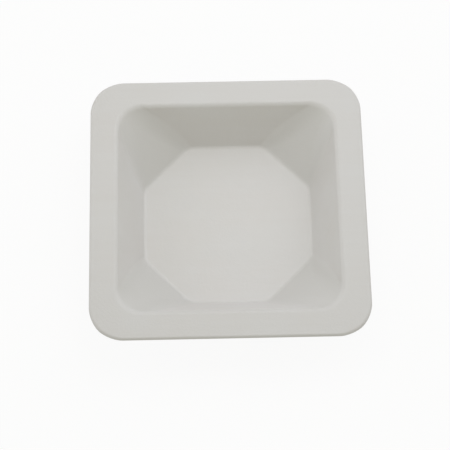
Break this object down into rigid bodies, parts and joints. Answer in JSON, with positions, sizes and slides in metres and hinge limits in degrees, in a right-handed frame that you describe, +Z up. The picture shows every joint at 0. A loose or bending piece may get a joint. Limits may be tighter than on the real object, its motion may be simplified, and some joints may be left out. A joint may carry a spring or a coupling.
{
  "type": "weighing boat",
  "caption": "Small square weighing boat formed from one thin sheet, with a flat rim, sloping walls, corner facets and a flat octagonal floor.",
  "frame": {"origin": "centre of the floor's underside, on the surface that the boat stands on", "axes": "+Z up out of the dish, X and Y along the rim's sides"},
  "size_m": [0.041, 0.041, 0.008],
  "materials": {
    "polystyrene": "satin"
  },
  "bodies": {
    "root": {"boat": "polystyrene"}
  },
  "joints": []
}
